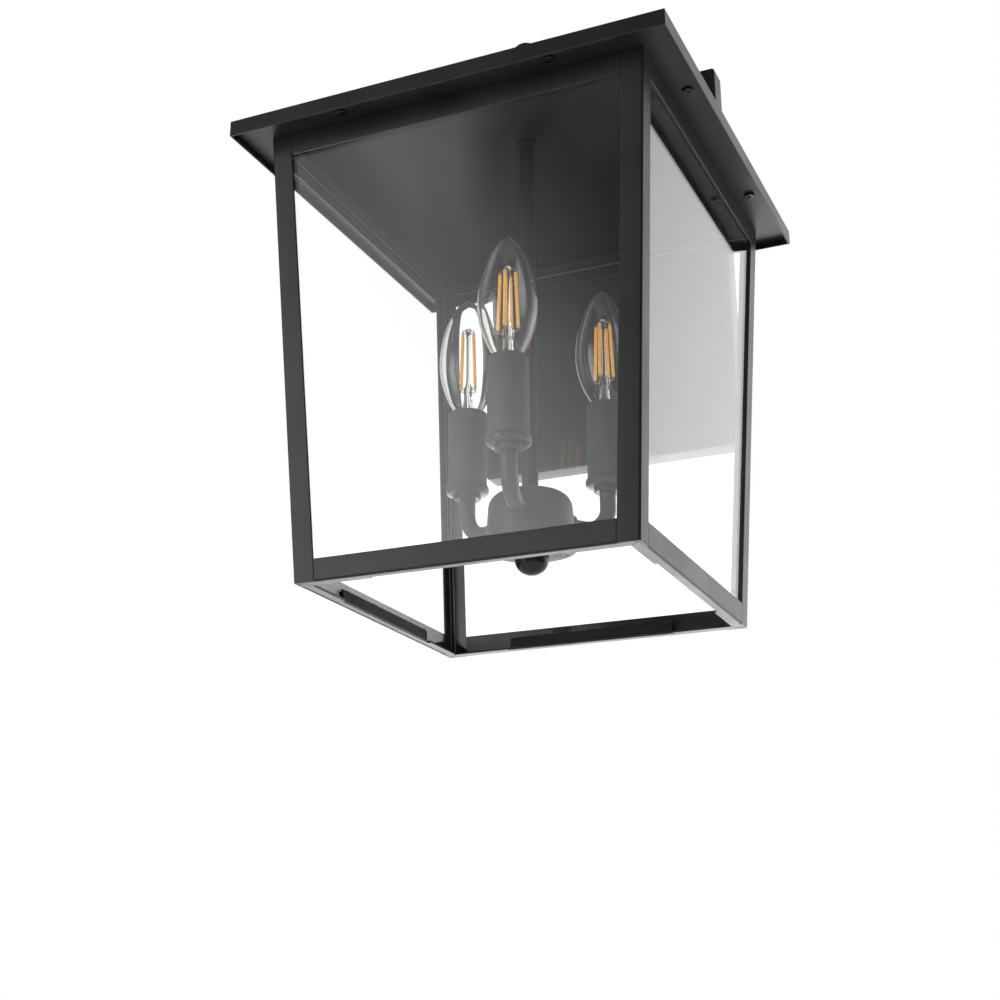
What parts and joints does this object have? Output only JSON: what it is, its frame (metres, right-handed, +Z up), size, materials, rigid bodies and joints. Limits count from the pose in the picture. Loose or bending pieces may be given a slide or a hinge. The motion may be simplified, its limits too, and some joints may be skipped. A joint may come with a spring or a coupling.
{
  "type": "outdoor wall sconce",
  "caption": "Square tapered glass lantern with a low flared roof and a candle cluster, hung from a wall plate by an arm.",
  "frame": {"origin": "centre of the mounting bar's two box slots, on the wall plane", "axes": "+Y goes into the wall, +Z is up, the lantern hangs towards -Y"},
  "size_m": [0.2604, 0.2788, 0.4083],
  "materials": {
    "black_coat": "matte black powder coat with a fine grain",
    "black_smooth": "smooth satin black",
    "candle_sleeve": "matte black tube",
    "socket_body": "moulded black socket",
    "zinc": "zinc plated",
    "ground_green": "green ground screw",
    "bulb_cap": "nickel plated screw cap",
    "bulb_contact": "solder tip",
    "pane_glass": "clear float glass with green edges",
    "bulb_glass": "clear blown glass",
    "filament": "amber coated filaments on a glass mount",
    "lead": "black insulated lead"
  },
  "bodies": {
    "fixture": {"wall_plate": "black_coat", "mounting_bar": "zinc", "plate_studs": "zinc", "cap_nuts": "black_smooth", "ground_screw": "ground_green", "bracket_arm": "black_coat", "stem": "black_smooth", "top_finial": "black_smooth", "roof_spacer": "black_coat", "stem_ring": "black_smooth", "roof_shell": "black_coat", "soffit_frame": "black_coat", "soffit_screws": "black_smooth", "glass_strips": "black_coat", "canister": "black_coat", "arm_nuts": "zinc", "supply_lead": "lead", "socket_leads": "lead", "front_left_post": "black_coat", "front_right_post": "black_coat", "back_right_post": "black_coat", "back_left_post": "black_coat", "front_bottom_rail": "black_coat", "front_top_rail": "black_coat", "front_glass_pane": "pane_glass", "right_bottom_rail": "black_coat", "right_top_rail": "black_coat", "right_glass_pane": "pane_glass", "back_bottom_rail": "black_coat", "back_top_rail": "black_coat", "back_glass_pane": "pane_glass", "left_bottom_rail": "black_coat", "left_top_rail": "black_coat", "left_glass_pane": "pane_glass", "front_candle_arm": "black_coat", "front_cup": "black_coat", "front_candle_sleeve": "candle_sleeve", "front_socket": "socket_body", "right_candle_arm": "black_coat", "right_cup": "black_coat", "right_candle_sleeve": "candle_sleeve", "right_socket": "socket_body", "left_candle_arm": "black_coat", "left_cup": "black_coat", "left_candle_sleeve": "candle_sleeve", "left_socket": "socket_body"},
    "front_bulb_contact": {"front_bulb_contact": "bulb_contact"},
    "front_bulb": {"front_bulb_cap": "bulb_cap", "front_bulb_glass": "bulb_glass", "front_bulb_filament": "filament"},
    "right_bulb_contact": {"right_bulb_contact": "bulb_contact"},
    "right_bulb": {"right_bulb_cap": "bulb_cap", "right_bulb_glass": "bulb_glass", "right_bulb_filament": "filament"},
    "left_bulb_contact": {"left_bulb_contact": "bulb_contact"},
    "left_bulb": {"left_bulb_cap": "bulb_cap", "left_bulb_glass": "bulb_glass", "left_bulb_filament": "filament"},
    "canister_cover": {"canister_cover": "black_coat"},
    "ball_finial": {"ball_finial": "black_smooth"}
  },
  "joints": [
    {"name": "front_bulb_rise", "type": "slide", "parent": "fixture", "child": "front_bulb_contact", "axis": [0, 0, 1], "range_m": [0, 0.01016]},
    {"name": "front_bulb_turn", "type": "hinge", "parent": "front_bulb_contact", "child": "front_bulb", "pos_m": [0.00832, -0.19831, 0], "axis": [0, 0, 1], "range_deg": [0, 1441]},
    {"name": "right_bulb_rise", "type": "slide", "parent": "fixture", "child": "right_bulb_contact", "axis": [0, 0, 1], "range_m": [0, 0.01016]},
    {"name": "right_bulb_turn", "type": "hinge", "parent": "right_bulb_contact", "child": "right_bulb", "pos_m": [0.03273, -0.11028, 0], "axis": [0, 0, 1], "range_deg": [0, 1441]},
    {"name": "left_bulb_rise", "type": "slide", "parent": "fixture", "child": "left_bulb_contact", "axis": [0, 0, 1], "range_m": [0, 0.01016]},
    {"name": "left_bulb_turn", "type": "hinge", "parent": "left_bulb_contact", "child": "left_bulb", "pos_m": [-0.04721, -0.13095, 0], "axis": [0, 0, 1], "range_deg": [0, 1441]},
    {"name": "cover_drop", "type": "slide", "parent": "fixture", "child": "canister_cover", "axis": [0, 0, -1], "range_m": [0, 0.005]},
    {"name": "finial_turn", "type": "hinge", "parent": "canister_cover", "child": "ball_finial", "pos_m": [0, -0.1486, 0], "axis": [0, 0, -1], "range_deg": [0, 1801]}
  ],
  "couplings": [
    {"joint": "front_bulb_turn", "follows": "front_bulb_rise", "rad_per_m": 2473.7},
    {"joint": "right_bulb_turn", "follows": "right_bulb_rise", "rad_per_m": 2473.7},
    {"joint": "left_bulb_turn", "follows": "left_bulb_rise", "rad_per_m": 2473.7},
    {"joint": "finial_turn", "follows": "cover_drop", "rad_per_m": 6283.2}
  ]
}
